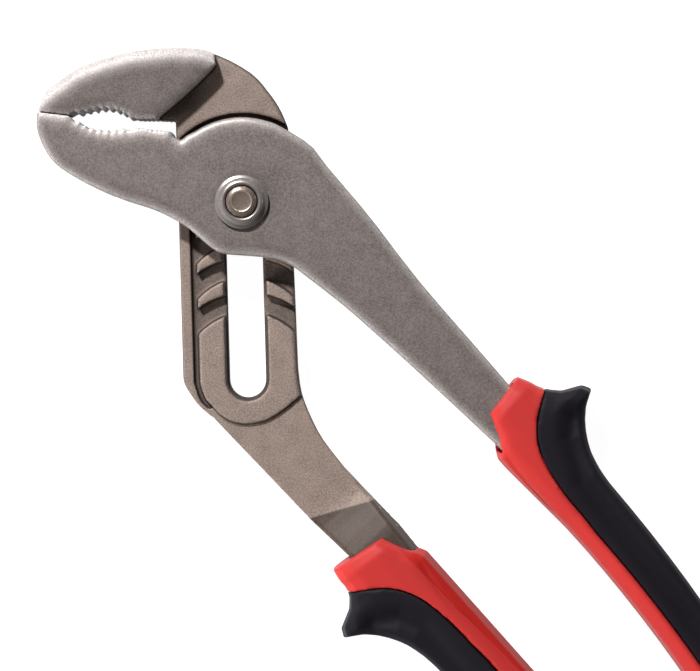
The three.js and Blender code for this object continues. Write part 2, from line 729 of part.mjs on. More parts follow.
function gripPair(grip, pocket) {
  const whole = gripBody(grip, 0, true);
  const core = whole
    .intersect(innerRegion(grip, -runningGap / 2))
    .add(gripBody(grip, coverThickness + runningGap, false))
    .subtract(pocket);
  const cover = whole
    .subtract(innerRegion(grip, runningGap / 2))
    .subtract(gripBody(grip, coverThickness, false))
    .subtract(pocket);
  return [core, cover];
}

// The pocket in each grip clears its bar and tang all round
function frontPocket(grip) {
  const reach = frontBarLength + frontBarInGrip + runningGap;
  const upper = frontBarSpread * 0.6 + runningGap;
  const bar = [frontFrame.at(frontBarLength * 0.85, -runningGap * 4), frontFrame.at(reach, -runningGap * 4),
    frontFrame.at(reach, upper), frontFrame.at(frontBarLength * 0.85, upper)];
  return prism(bar, frontBack - runningGap, frontTop + runningGap)
    .add(loft(tangRings(grip, frontBarInGrip - overrun, frontBack, frontTop, runningGap)));
}

function rearPocket(grip) {
  const low = gripMid - tangThickness / 2;
  const high = gripMid + tangThickness / 2;
  return loft(rearBarRings(runningGap)).add(loft(tangRings(grip, noseLength * 0.7, low, high, runningGap)));
}

const barCentre = frontBarSpread * 0.267;
const frontGripSize = {
  innerHalf: frontGripInnerHalf,
  flange: frontGripFlange,
  bow: frontGripBow,
  noseFlare: frontNoseFlare,
  noseSwell: frontNoseSwell,
};
const rearGripSize = {
  innerHalf: rearGripInnerHalf,
  flange: rearGripFlange,
  bow: rearGripBow,
  noseFlare: rearNoseFlare,
  noseSwell: rearNoseSwell,
};
const frontGripStart = frontFrame.at(frontBarLength, barCentre + frontGripOffset);
const rearGripStart = rearFrame.at(rearBarLength, rearBarOffset + rearGripOffset);
const frontGrip = makeGrip(frontGripStart, frontGripAngle, 1, frontGripSize);
const rearGrip = makeGrip(rearGripStart, rearGripAngle, -1, rearGripSize);

// Finishes seen on the real tool
const forgedTaupe = new THREE.MeshStandardMaterial({ color: 0x96857d, roughness: 0.6, metalness: 0.8 });
const satinGrey = new THREE.MeshStandardMaterial({ color: 0x736c6a, roughness: 0.5, metalness: 0.85 });
const boltSteel = new THREE.MeshStandardMaterial({ color: 0x8a8078, roughness: 0.4, metalness: 0.9 });
const redPlastic = new THREE.MeshStandardMaterial({ color: 0xd73e3a, roughness: 0.4, metalness: 0 });
const blackRubber = new THREE.MeshStandardMaterial({ color: 0x322e34, roughness: 0.7, metalness: 0 });

const pliers = new THREE.Group();

function addPiece(name, solid, material) {
  const mesh = new THREE.Mesh(geometryOf(solid), material);
  mesh.name = name;
  pliers.add(mesh);
}

addPiece('upper_jaw_arm', rearForging(rearGrip), forgedTaupe);
addPiece('lower_jaw_arm', frontForging(frontGrip), satinGrey);
addPiece('pivot_bolt', bolt(), boltSteel);
addPiece('pivot_nut', nut(), boltSteel);
const [frontCore, frontCover] = gripPair(frontGrip, frontPocket(frontGrip));
const [rearCore, rearCover] = gripPair(rearGrip, rearPocket(rearGrip));
addPiece('front_grip_core', frontCore, redPlastic);
addPiece('front_grip_cover', frontCover, blackRubber);
addPiece('rear_grip_core', rearCore, redPlastic);
addPiece('rear_grip_cover', rearCover, blackRubber);

export default pliers;
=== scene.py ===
"""Groove-joint plumbing pliers: looks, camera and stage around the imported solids."""

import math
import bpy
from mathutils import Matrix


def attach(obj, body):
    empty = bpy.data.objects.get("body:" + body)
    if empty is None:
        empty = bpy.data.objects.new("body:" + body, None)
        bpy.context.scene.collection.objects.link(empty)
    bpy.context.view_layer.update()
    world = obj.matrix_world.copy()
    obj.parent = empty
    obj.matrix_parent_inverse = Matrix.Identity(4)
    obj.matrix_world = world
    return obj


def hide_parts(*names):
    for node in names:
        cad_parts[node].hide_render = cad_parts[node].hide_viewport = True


bl_info = {
    "name": "Groove-joint pliers",
    "version": (1, 0, 0),
    "blender": (4, 5, 0),
    "location": "View3D > Sidebar > Pliers",
    "description": "Dresses groove-joint pliers in forged steel, moulded plastic and rubber",
    "category": "Object",
}

import bmesh
import bpy
from mathutils import Vector
from mathutils.kdtree import KDTree

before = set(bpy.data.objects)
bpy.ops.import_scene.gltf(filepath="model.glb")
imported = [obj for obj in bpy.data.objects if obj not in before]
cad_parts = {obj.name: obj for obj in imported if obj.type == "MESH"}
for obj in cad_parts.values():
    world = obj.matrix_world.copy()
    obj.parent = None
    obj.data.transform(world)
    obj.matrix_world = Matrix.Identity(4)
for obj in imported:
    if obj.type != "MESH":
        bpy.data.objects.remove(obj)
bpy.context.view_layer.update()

MM = 0.001
UP, DOWN = (0, 0, 1), (0, 0, -1)
DOWN_THE_BAR = (0.254, -0.967, 0)
ACROSS_THE_GRIP = (0.729, 0.684, 0)
GRIP_MIDDLE = 9.35 * MM


class ForgingSettings(bpy.types.PropertyGroup):
    """Sizes and colours of the two forgings, the bolt and the nut"""

    voxel: bpy.props.FloatProperty(
        name="Mesh fineness", description="Cell size of the remeshed steel surface",
        default=0.00042, min=0.0003, max=0.002, unit="LENGTH")
    front_colour: bpy.props.FloatVectorProperty(
        name="Front arm", description="Satin grey of the front arm and of both jaws",
        subtype="COLOR", size=3, default=(0.158, 0.132, 0.1235), min=0.0, max=1.0)
    rear_colour: bpy.props.FloatVectorProperty(
        name="Rear arm", description="Blasted taupe of the rear arm",
        subtype="COLOR", size=3, default=(0.212, 0.161, 0.135), min=0.0, max=1.0)
    jaw_colour: bpy.props.FloatVectorProperty(
        name="Upper jaw", description="Ground grey of the raised upper jaw",
        subtype="COLOR", size=3, default=(0.108, 0.089, 0.083), min=0.0, max=1.0)
    # Painted highlight: the round of the upper jaw is coloured bright in place of light falling on
    # it
    crown_highlight_colour: bpy.props.FloatVectorProperty(
        name="Crown", description="Ground round of the upper jaw, brightened as a painted highlight",
        subtype="COLOR", size=3, default=(0.43, 0.393, 0.382), min=0.0, max=1.0)
    # Painted sheen: the eased rim of the front arm is coloured bright in place of light
    rim_sheen_colour: bpy.props.FloatVectorProperty(
        name="Front rim", description="Painted sheen on the eased rim of the front arm",
        subtype="COLOR", size=3, default=(0.44, 0.40, 0.385), min=0.0, max=1.0)
    # The rear bar is coloured darker towards its grip
    tang_colour: bpy.props.FloatVectorProperty(
        name="Rear bar end", description="Darker colour of the rear bar near its grip",
        subtype="COLOR", size=3, default=(0.057, 0.040, 0.032), min=0.0, max=1.0)
    # Painted shade on the groove floors and the channel, coloured dark in place of their shadow
    groove_shade_colour: bpy.props.FloatVectorProperty(
        name="Grooves", description="Painted shade on the floors of the arc grooves",
        subtype="COLOR", size=3, default=(0.12, 0.09, 0.075), min=0.0, max=1.0)
    bolt_colour: bpy.props.FloatVectorProperty(
        name="Bolt", description="Peened end of the bolt",
        subtype="COLOR", size=3, default=(0.21, 0.162, 0.131), min=0.0, max=1.0)
    nut_colour: bpy.props.FloatVectorProperty(
        name="Nut", description="Turned nut",
        subtype="COLOR", size=3, default=(0.29, 0.26, 0.25), min=0.0, max=1.0)
    grit_size: bpy.props.FloatProperty(
        name="Grit size", description="Size of the speckles that blasting left in the steel",
        default=0.00042, min=0.0002, max=0.003, unit="LENGTH")


class GripSettings(bpy.types.PropertyGroup):
    """Sizes and colours of the moulded grips"""

    voxel: bpy.props.FloatProperty(
        name="Mesh fineness", description="Cell size of the remeshed grip surface",
        default=0.0005, min=0.0003, max=0.002, unit="LENGTH")
    red: bpy.props.FloatVectorProperty(
        name="Core colour", description="Hard red plastic",
        subtype="COLOR", size=3, default=(0.385, 0.026, 0.0235), min=0.0, max=1.0)
    # Painted shade: the flank of the rear core is a darker copy of the red
    shaded_flank_red: bpy.props.FloatVectorProperty(
        name="Flank colour", description="Red of the rear core beyond its crease, darkened as painted shade",
        subtype="COLOR", size=3, default=(0.335, 0.0135, 0.0105), min=0.0, max=1.0)
    black: bpy.props.FloatVectorProperty(
        name="Cover colour", description="Soft black rubber",
        subtype="COLOR", size=3, default=(0.0085, 0.007, 0.0098), min=0.0, max=1.0)


class StageSettings(bpy.types.PropertyGroup):
    """Camera, lamps and floor"""

    camera_height: bpy.props.FloatProperty(
        name="Camera height", description="Height of the camera above the middle of the tool",
        default=0.7, min=0.2, max=3.0, unit="LENGTH")
    lens: bpy.props.FloatProperty(
        name="Lens", description="Focal length on a 36 mm sensor",
        default=133.2, min=20.0, max=300.0)
    camera_roll: bpy.props.FloatProperty(
        name="Camera roll", description="Turn of the camera about its own axis",
        default=math.radians(-1.6), subtype="ANGLE")
    key_power: bpy.props.FloatProperty(
        name="Key lamp", description="Power of the large lamp at the upper left",
        default=96.0, min=0.0, max=500.0, unit="POWER")
    crown_power: bpy.props.FloatProperty(
        name="Crown lamp", description="Power of the low lamp on the round of the upper jaw",
        default=3.0, min=0.0, max=200.0, unit="POWER")
    back_power: bpy.props.FloatProperty(
        name="Back lamp", description="Power of the low lamp on the edges at the upper right",
        default=3.0, min=0.0, max=200.0, unit="POWER")
    side_power: bpy.props.FloatProperty(
        name="Side lamp", description="Power of the left lamp in the front arm's shadow",
        default=3.5, min=0.0, max=200.0, unit="POWER")
    rim_power: bpy.props.FloatProperty(
        name="Rim lamp", description="Power of the wide low lamp that lights the lower edges",
        default=12.0, min=0.0, max=200.0, unit="POWER")


# Shared surface effects, each a node group with named sockets

# Light steel of worn edges, which also serves as a painted highlight on every convex edge
EDGE_WEAR_AND_SHEEN = (0.55, 0.51, 0.49)
# Dark colour of painted shade in inner corners and on steep walls, where it also stands for forging
# scale
SHADE_AND_SCALE = (0.03, 0.022, 0.018)
SURFACE_OUTPUTS = (("Colour", "NodeSocketColor"), ("Roughness", "NodeSocketFloat"),
                   ("Height", "NodeSocketFloat"))


def group_sockets(tree, inputs, outputs):
    for name, kind, value in inputs:
        socket = tree.interface.new_socket(name, in_out="INPUT", socket_type=kind)
        socket.default_value = value
    for name, kind in outputs:
        tree.interface.new_socket(name, in_out="OUTPUT", socket_type=kind)
    return tree.nodes.new("NodeGroupInput"), tree.nodes.new("NodeGroupOutput")


def steel_grit_group():
    """Speckled colour, roughness and height of blasted or ground steel, with painted shade on steep
    walls and in inner corners and a painted highlight on edges.
    """
    tree = bpy.data.node_groups.new("Steel grit", "ShaderNodeTree")
    given, result = group_sockets(
        tree,
        [("Colour", "NodeSocketColor", (0.2, 0.2, 0.2, 1)),
         ("Grit scale", "NodeSocketFloat", 1600.0),
         ("Contrast", "NodeSocketFloat", 0.25),
         ("Cloud contrast", "NodeSocketFloat", 0.5),
         # Strengths of the edge wear with its painted highlight, of the painted shade in inner
         # corners and of the painted shade on steep walls
         ("Edge wear and sheen", "NodeSocketFloat", 0.6),
         ("Cavity shade", "NodeSocketFloat", 0.85),
         ("Wall shade and scale", "NodeSocketFloat", 0.0),
         ("Roughness", "NodeSocketFloat", 0.45)],
        SURFACE_OUTPUTS)
    nodes, links = tree.nodes, tree.links
    place = nodes.new("ShaderNodeTexCoord")
    grit = nodes.new("ShaderNodeTexNoise")
    grit.inputs["Detail"].default_value = 3.0
    grit.inputs["Roughness"].default_value = 0.65
    links.new(place.outputs["Object"], grit.inputs["Vector"])
    links.new(given.outputs["Grit scale"], grit.inputs["Scale"])
    cloud = nodes.new("ShaderNodeTexNoise")
    cloud.inputs["Scale"].default_value = 220.0
    cloud.inputs["Detail"].default_value = 4.0
    links.new(place.outputs["Object"], cloud.inputs["Vector"])

    def centred(source, strength):
        shift = nodes.new("ShaderNodeMath")
        shift.operation = "SUBTRACT"
        shift.inputs[1].default_value = 0.5
        links.new(source, shift.inputs[0])
        scale = nodes.new("ShaderNodeMath")
        scale.operation = "MULTIPLY"
        links.new(shift.outputs[0], scale.inputs[0])
        links.new(strength, scale.inputs[1])
        return scale.outputs[0]

    fine = centred(grit.outputs["Fac"], given.outputs["Contrast"])
    broad = centred(cloud.outputs["Fac"], given.outputs["Cloud contrast"])
    total = nodes.new("ShaderNodeMath")
    links.new(fine, total.inputs[0])
    links.new(broad, total.inputs[1])
    factor = nodes.new("ShaderNodeMath")
    factor.inputs[1].default_value = 1.0
    links.new(total.outputs[0], factor.inputs[0])
    tint = nodes.new("ShaderNodeVectorMath")
    tint.operation = "SCALE"
    links.new(given.outputs["Colour"], tint.inputs[0])
    links.new(factor.outputs[0], tint.inputs["Scale"])

    # Painted light: convex edges are lightened as wear together with a painted highlight, inner
    # corners get painted shade, and steep walls get painted shade along with their dark forging
    # scale
    shape = nodes.new("ShaderNodeNewGeometry")
    slope = nodes.new("ShaderNodeSeparateXYZ")
    links.new(shape.outputs["Normal"], slope.inputs[0])
    level = nodes.new("ShaderNodeMath")
    level.operation = "ABSOLUTE"
    links.new(slope.outputs["Z"], level.inputs[0])
    bend, flatness = shape.outputs["Pointiness"], level.outputs[0]
    shade = tint.outputs[0]
    for measure, start, end, strength, colour in ((flatness, 0.92, 0.6, "Wall shade and scale", SHADE_AND_SCALE),
                                                  (bend, 0.545, 0.63, "Edge wear and sheen", EDGE_WEAR_AND_SHEEN),
                                                  (bend, 0.485, 0.43, "Cavity shade", SHADE_AND_SCALE)):
        reach = nodes.new("ShaderNodeMapRange")
        reach.inputs["From Min"].default_value = start
        reach.inputs["From Max"].default_value = end
        links.new(measure, reach.inputs["Value"])
        amount = nodes.new("ShaderNodeMath")
        amount.operation = "MULTIPLY"
        links.new(reach.outputs["Result"], amount.inputs[0])
        links.new(given.outputs[strength], amount.inputs[1])
        mix = nodes.new("ShaderNodeMix")
        mix.data_type = "RGBA"
        links.new(amount.outputs[0], mix.inputs["Factor"])
        links.new(shade, mix.inputs["A"])
        mix.inputs["B"].default_value = (*colour, 1)
        shade = mix.outputs["Result"]
    links.new(shade, result.inputs["Colour"])
    rough = nodes.new("ShaderNodeMath")
    rough.operation = "MULTIPLY_ADD"
    rough.inputs[1].default_value = 0.15
    links.new(fine, rough.inputs[0])
    links.new(given.outputs["Roughness"], rough.inputs[2])
    links.new(rough.outputs[0], result.inputs["Roughness"])
    links.new(grit.outputs["Fac"], result.inputs["Height"])
    return tree


def moulded_skin_group():
    """Fine mottle and height of a moulded surface."""
    tree = bpy.data.node_groups.new("Moulded skin", "ShaderNodeTree")
    given, result = group_sockets(
        tree,
        [("Colour", "NodeSocketColor", (0.5, 0.1, 0.1, 1)),
         ("Grain scale", "NodeSocketFloat", 2500.0),
         ("Mottle", "NodeSocketFloat", 0.1),
         ("Roughness", "NodeSocketFloat", 0.5)],
        SURFACE_OUTPUTS)
    nodes, links = tree.nodes, tree.links
    place = nodes.new("ShaderNodeTexCoord")
    grain = nodes.new("ShaderNodeTexNoise")
    grain.inputs["Detail"].default_value = 2.0
    links.new(place.outputs["Object"], grain.inputs["Vector"])
    links.new(given.outputs["Grain scale"], grain.inputs["Scale"])
    cloud = nodes.new("ShaderNodeTexNoise")
    cloud.inputs["Scale"].default_value = 45.0
    links.new(place.outputs["Object"], cloud.inputs["Vector"])
    span = nodes.new("ShaderNodeMapRange")
    span.inputs["To Min"].default_value = -0.5
    span.inputs["To Max"].default_value = 0.5
    links.new(cloud.outputs["Fac"], span.inputs["Value"])
    amount = nodes.new("ShaderNodeMath")
    amount.operation = "MULTIPLY_ADD"
    amount.inputs[2].default_value = 1.0
    links.new(span.outputs["Result"], amount.inputs[0])
    links.new(given.outputs["Mottle"], amount.inputs[1])
    tint = nodes.new("ShaderNodeVectorMath")
    tint.operation = "SCALE"
    links.new(given.outputs["Colour"], tint.inputs[0])
    links.new(amount.outputs[0], tint.inputs["Scale"])
    links.new(tint.outputs[0], result.inputs["Colour"])
    rough = nodes.new("ShaderNodeMath")
    rough.operation = "MULTIPLY_ADD"
    rough.inputs[1].default_value = 0.12
    links.new(span.outputs["Result"], rough.inputs[0])
    links.new(given.outputs["Roughness"], rough.inputs[2])
    links.new(rough.outputs[0], result.inputs["Roughness"])
    links.new(grain.outputs["Fac"], result.inputs["Height"])
    return tree


def colour_zone_group():
    """1 where a point is further than Start along Direction, with a soft change over Width."""
    tree = bpy.data.node_groups.new("Colour zone", "ShaderNodeTree")
    given, result = group_sockets(
        tree,
        [("Direction", "NodeSocketVector", (0, 0, 1)),
         ("Start", "NodeSocketFloat", 0.01),
         ("Width", "NodeSocketFloat", 0.0005)],
        [("Mask", "NodeSocketFloat")])
    nodes, links = tree.nodes, tree.links
    place = nodes.new("ShaderNodeTexCoord")
    along = nodes.new("ShaderNodeVectorMath")
    along.operation = "DOT_PRODUCT"
    links.new(place.outputs["Object"], along.inputs[0])
    links.new(given.outputs["Direction"], along.inputs[1])
    past = nodes.new("ShaderNodeMath")
    past.operation = "SUBTRACT"
    links.new(along.outputs["Value"], past.inputs[0])
    links.new(given.outputs["Start"], past.inputs[1])
    soft = nodes.new("ShaderNodeMath")
    soft.operation = "DIVIDE"
    soft.use_clamp = True
    links.new(past.outputs[0], soft.inputs[0])
    links.new(given.outputs["Width"], soft.inputs[1])
    links.new(soft.outputs[0], result.inputs["Mask"])
    return tree


def shared_group(name, maker):
    return bpy.data.node_groups.get(name) or maker()


def zone_mask(material, direction, start, width):
    """The shared effect's node in a material, and the mask of the part past a plane."""
    nodes = material.node_tree.nodes
    effect = next(n for n in nodes if n.type == "GROUP" and "Height" in n.outputs)
    zone = nodes.new("ShaderNodeGroup")
    zone.node_tree = shared_group("Colour zone", colour_zone_group)
    zone.inputs["Direction"].default_value = direction
    zone.inputs["Start"].default_value = start
    zone.inputs["Width"].default_value = width
    return effect, zone.outputs["Mask"]


def end_past(material, socket, direction, start, width):
    """Lets a value of the shared effect fall to zero past a plane."""
    nodes, links = material.node_tree.nodes, material.node_tree.links
    effect, mask = zone_mask(material, direction, start, width)
    kept = nodes.new("ShaderNodeMath")
    kept.operation = "SUBTRACT"
    kept.inputs[0].default_value = 1.0
    links.new(mask, kept.inputs[1])
    amount = nodes.new("ShaderNodeMath")
    amount.operation = "MULTIPLY"
    links.new(kept.outputs[0], amount.inputs[1])
    value = effect.inputs[socket]
    if value.is_linked:
        links.new(value.links[0].from_socket, amount.inputs[0])
    else:
        amount.inputs[0].default_value = value.default_value
    links.new(amount.outputs[0], value)


def add_zone(material, direction, start, width, colour, *ends):
    """Gives a zone its own colour from a plane up to the end planes, before the shared effect;
    zones carry finishes and also painted highlights and shade.
    """
    nodes, links = material.node_tree.nodes, material.node_tree.links
    effect, mask = zone_mask(material, direction, start, width)
    for end in ends:
        inside = nodes.new("ShaderNodeMath")
        inside.operation = "SUBTRACT"
        inside.use_clamp = True
        links.new(mask, inside.inputs[0])
        links.new(zone_mask(material, *end)[1], inside.inputs[1])
        mask = inside.outputs[0]
    mix = nodes.new("ShaderNodeMix")
    mix.data_type = "RGBA"
    base = effect.inputs["Colour"]
    if base.is_linked:
        links.new(base.links[0].from_socket, mix.inputs["A"])
    else:
        mix.inputs["A"].default_value = base.default_value
    mix.inputs["B"].default_value = (*colour, 1)
    links.new(mask, mix.inputs["Factor"])
    links.new(mix.outputs["Result"], base)


def finish_material(name, group, values, metallic, bump_distance, bump_strength, coat=0.0):
    """A Principled material whose colour, roughness and bump come from one shared effect."""
    material = bpy.data.materials.new(name)
    material.use_nodes = True
    nodes, links = material.node_tree.nodes, material.node_tree.links
    shader = nodes["Principled BSDF"]
    shader.inputs["Metallic"].default_value = metallic
    shader.inputs["Coat Weight"].default_value = coat
    effect = nodes.new("ShaderNodeGroup")
    effect.node_tree = group
    for socket, value in values.items():
        effect.inputs[socket].default_value = value
    links.new(effect.outputs["Colour"], shader.inputs["Base Color"])
    links.new(effect.outputs["Roughness"], shader.inputs["Roughness"])
    bump = nodes.new("ShaderNodeBump")
    bump.inputs["Distance"].default_value = bump_distance
    bump.inputs["Strength"].default_value = bump_strength
    links.new(effect.outputs["Height"], bump.inputs["Height"])
    links.new(bump.outputs["Normal"], shader.inputs["Normal"])
    return material


# The wall strength darkens steep walls as painted shade; the edge strength lightens edges as wear
# with a painted highlight
def steel_material(name, colour, contrast, roughness, metallic, bump_strength,
                   wall_shade_and_scale=0.0, wear_and_sheen=0.6):
    settings = bpy.context.scene.pliers_forgings
    values = {"Colour": (*colour, 1), "Grit scale": 1.0 / settings.grit_size,
              "Contrast": contrast, "Roughness": roughness, "Wall shade and scale": wall_shade_and_scale,
              "Edge wear and sheen": wear_and_sheen}
    group = shared_group("Steel grit", steel_grit_group)
    return finish_material(name, group, values, metallic, 0.05 * MM, bump_strength)


def moulded_material(name, colour, mottle, roughness, bump_strength, gloss=0.5):
    values = {"Colour": (*colour, 1), "Mottle": mottle, "Roughness": roughness}
    group = shared_group("Moulded skin", moulded_skin_group)
    material = finish_material(name, group, values, 0.0, 0.03 * MM, bump_strength)
    shader = material.node_tree.nodes["Principled BSDF"]
    shader.inputs["Specular IOR Level"].default_value = gloss
    shader.inputs["IOR"].default_value = 1.35
    return material


# Meshes

WELD_DISTANCE = 0.002 * MM
FLAT_ANGLE = math.radians(0.8)
STEEP_NORMAL = 0.4       # a wall's normal has less than this upwards
CREASE_FADE = 0.15       # share of its length over which a crease runs out at each end
CREASE_CLEARANCE = 5 * MM  # the creases leave the sides of a grip this far from its middle alone


def merged_copy(node, name):
    """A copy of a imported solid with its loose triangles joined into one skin."""
    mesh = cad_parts[node].data.copy()
    mesh.materials.clear()
    work = bmesh.new()
    work.from_mesh(mesh)
    bmesh.ops.remove_doubles(work, verts=work.verts, dist=WELD_DISTANCE)
    bmesh.ops.dissolve_limit(work, angle_limit=FLAT_ANGLE, verts=work.verts, edges=work.edges)
    work.to_mesh(mesh)
    work.free()
    piece = bpy.data.objects.new(name, mesh)
    bpy.context.scene.collection.objects.link(piece)
    return piece


def settle(piece):
    """Turns the evaluated object into its own plain mesh."""
    depsgraph = bpy.context.evaluated_depsgraph_get()
    mesh = bpy.data.meshes.new_from_object(piece.evaluated_get(depsgraph))
    piece.modifiers.clear()
    piece.data = mesh


def place_piece(piece, node, body, material):
    piece.data.materials.clear()
    piece.data.materials.append(material)
    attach(piece, body)
    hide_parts(node)


def soft_skin(node, name, voxel, passes):
    """Solid remeshed finely, then relaxed so that its sharp edges take a small round."""
    piece = merged_copy(node, name)
    remesh = piece.modifiers.new("Fine skin", "REMESH")
    remesh.mode = "VOXEL"
    remesh.voxel_size = voxel
    relax = piece.modifiers.new("Edge round", "SMOOTH")
    relax.factor = 0.5
    relax.iterations = passes
    settle(piece)
    piece.data.shade_smooth()
    return piece


def distance_to_line(x, y, line):
    """Least distance from a point to an open line, and the share of the line up to that place."""
    best, place = 1e9, 0.0
    for i in range(len(line) - 1):
        (ax, ay), (bx, by) = line[i], line[i + 1]
        dx, dy = bx - ax, by - ay
        share = max(0.0, min(1.0, ((x - ax) * dx + (y - ay) * dy) / (dx * dx + dy * dy)))
        gap = math.hypot(x - ax - share * dx, y - ay - share * dy)
        if gap < best:
            best, place = gap, (i + share) / (len(line) - 1)
    return best, place


def press_crease(piece, line, width, depth):
    """Presses a soft crease along a line, all in millimetres, into both faces of a grip."""
    for vertex in piece.data.vertices:
        gap, place = distance_to_line(vertex.co.x / MM, vertex.co.y / MM, line)
        if gap > 3 * width:
            continue
        ease = min(1.0, min(place, 1 - place) / CREASE_FADE)
        push = depth * ease * math.exp(-((gap / width) ** 2)) * MM
        side = 1 if vertex.co.z > GRIP_MIDDLE else -1
        if abs(vertex.co.z - GRIP_MIDDLE) > CREASE_CLEARANCE:
            vertex.co.z -= side * push


def ease_rim(piece, low, reach, drop):
    """Lets the faces above a height fall off softly near their rim, as ground forgings do."""
    mesh = piece.data
    count = len(mesh.vertices)
    places, normals = [0.0] * 3 * count, [0.0] * 3 * count
    mesh.vertices.foreach_get("co", places)
    mesh.vertex_normals.foreach_get("vector", normals)
    upper = [i for i in range(count) if places[3 * i + 2] > low]
    walls = [i for i in upper if normals[3 * i + 2] < STEEP_NORMAL]
    rim = KDTree(len(walls))
    for i in walls:
        rim.insert(places[3 * i:3 * i + 3], i)
    rim.balance()
    for i in upper:
        share = min(1.0, rim.find(places[3 * i:3 * i + 3])[2] / reach)
        facing = max(0.0, normals[3 * i + 2])
        places[3 * i + 2] -= drop * facing * (1 - share) ** 2
    mesh.vertices.foreach_set("co", places)
    mesh.update()


def turning_tree():
    """Turns the points of a profile, radius along X and height along Z, about the Z axis."""
    tree = bpy.data.node_groups.new("Turned piece", "GeometryNodeTree")
    for name, direction, kind in (("Profile", "INPUT", "Geometry"), ("Sides", "INPUT", "Int"),
                                  ("Weld distance", "INPUT", "Float"),
                                  ("Material", "INPUT", "Material"),
                                  ("Geometry", "OUTPUT", "Geometry")):
        tree.interface.new_socket(name, in_out=direction, socket_type=f"NodeSocket{kind}")
    nodes, links = tree.nodes, tree.links

    def node(kind, operation=None, **values):
        made = nodes.new(kind)
        if operation:
            made.operation = operation
        for socket, value in values.items():
            source = made.inputs[int(socket[1:])] if socket[1:].isdigit() else made.inputs[socket]
            if isinstance(value, bpy.types.NodeSocket):
                links.new(value, source)
            else:
                source.default_value = value
        return made

    given = nodes.new("NodeGroupInput")
    profile, sides = given.outputs["Profile"], given.outputs["Sides"]
    count = node("GeometryNodeAttributeDomainSize", Geometry=profile)
    columns = node("ShaderNodeMath", "ADD", _0=sides, _1=1.0)
    grid = node("GeometryNodeMeshGrid")
    links.new(count.outputs["Point Count"], grid.inputs["Vertices X"])
    links.new(columns.outputs[0], grid.inputs["Vertices Y"])
    index = nodes.new("GeometryNodeInputIndex")
    share = node("ShaderNodeMath", "DIVIDE", _0=index.outputs[0], _1=columns.outputs[0])
    row = node("ShaderNodeMath", "FLOOR", _0=share.outputs[0])
    column = node("ShaderNodeMath", "MODULO", _0=index.outputs[0], _1=columns.outputs[0])
    turn = node("ShaderNodeMath", "DIVIDE", _0=column.outputs[0], _1=sides)
    angle = node("ShaderNodeMath", "MULTIPLY", _0=turn.outputs[0], _1=2 * math.pi)
    point = nodes.new("GeometryNodeSampleIndex")
    point.data_type = "FLOAT_VECTOR"
    links.new(profile, point.inputs["Geometry"])
    links.new(nodes.new("GeometryNodeInputPosition").outputs[0], point.inputs["Value"])
    links.new(row.outputs[0], point.inputs["Index"])
    spin = nodes.new("ShaderNodeVectorRotate")
    spin.rotation_type = "Z_AXIS"
    links.new(point.outputs[0], spin.inputs["Vector"])
    links.new(angle.outputs[0], spin.inputs["Angle"])
    place = node("GeometryNodeSetPosition", Geometry=grid.outputs["Mesh"], Position=spin.outputs[0])
    weld = node("GeometryNodeMergeByDistance", Geometry=place.outputs[0],
                Distance=given.outputs["Weld distance"])
    real = node("GeometryNodeRealizeInstances", Geometry=weld.outputs[0])
    dress = node("GeometryNodeSetMaterial", Geometry=real.outputs[0],
                 Material=given.outputs["Material"])
    links.new(dress.outputs[0], nodes.new("NodeGroupOutput").inputs["Geometry"])
    return tree


def turned_piece(name, profile, material, sides=96):
    """A turned solid from a profile of radius and height in millimetres, with rounded corners."""
    mesh = bpy.data.meshes.new(name)
    mesh.from_pydata([(radius * MM, 0, height * MM) for radius, height in profile], [], [])
    piece = bpy.data.objects.new(name, mesh)
    bpy.context.scene.collection.objects.link(piece)
    turning = piece.modifiers.new("Turning", "NODES")
    tree = shared_group("Turned piece", turning_tree)
    turning.node_group = tree
    values = {"Sides": sides, "Weld distance": 0.001 * MM, "Material": material}
    for item in tree.interface.items_tree:
        if item.name in values:
            turning[item.identifier] = values[item.name]
    bevel = piece.modifiers.new("Corner round", "BEVEL")
    bevel.width = 0.12 * MM
    bevel.segments = 2
    bevel.limit_method = "ANGLE"
    bevel.angle_limit = math.radians(20)
    settle(piece)
    work = bmesh.new()
    work.from_mesh(piece.data)
    bmesh.ops.recalc_face_normals(work, faces=work.faces)
    work.to_mesh(piece.data)
    work.free()
    piece.data.shade_smooth()
    return piece


# Radius and height of the turned pieces, in millimetres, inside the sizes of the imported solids
BOLT_PROFILE = [
    (0, 0), (8.4, 0), (9.0, 0.6), (9.0, 2.4), (8.4, 3.0), (4.7, 3.0), (4.7, 9.2), (4.1, 9.2),
    (4.1, 18.25), (3.75, 18.5), (3.1, 18.72), (2.75, 18.8), (2.6, 18.66), (1.4, 18.58), (0, 18.56),
]
NUT_PROFILE = [
    (4.4, 15.7), (7.2, 15.7), (7.2, 16.4), (6.6, 16.62), (6.3, 16.7), (6.1, 17.2), (5.8, 17.85),
    (5.55, 18.1), (5.0, 18.3), (4.7, 18.2), (4.4, 17.9), (4.4, 15.7),
]


# Lines of the moulded creases, in millimetres
CORE_CREASES = {
    "front": [(66.8, -66.7), (72.1, -74.5), (77.4, -81.2), (82.6, -87.9), (86.9, -91.9)],
    "rear": [(43.3, -94.8), (46.7, -100.5), (50.1, -105.7), (53.6, -110.0), (57.7, -113.8),
             (61.8, -118.1), (67.4, -124.6), (105.5, -165.0)],
}
COVER_CREASES = {
    "front": [(89.3, -54.8), (86.7, -60.1), (86.0, -65.6), (89.5, -77.2), (96.9, -87.8),
              (107.4, -101.7), (117.9, -115.7), (144.9, -151.7)],
    "rear": [(27.9, -115.2), (33.1, -113.2), (39.0, -112.5), (44.9, -115.2), (51.5, -123.1),
             (80.4, -157.6)],
}


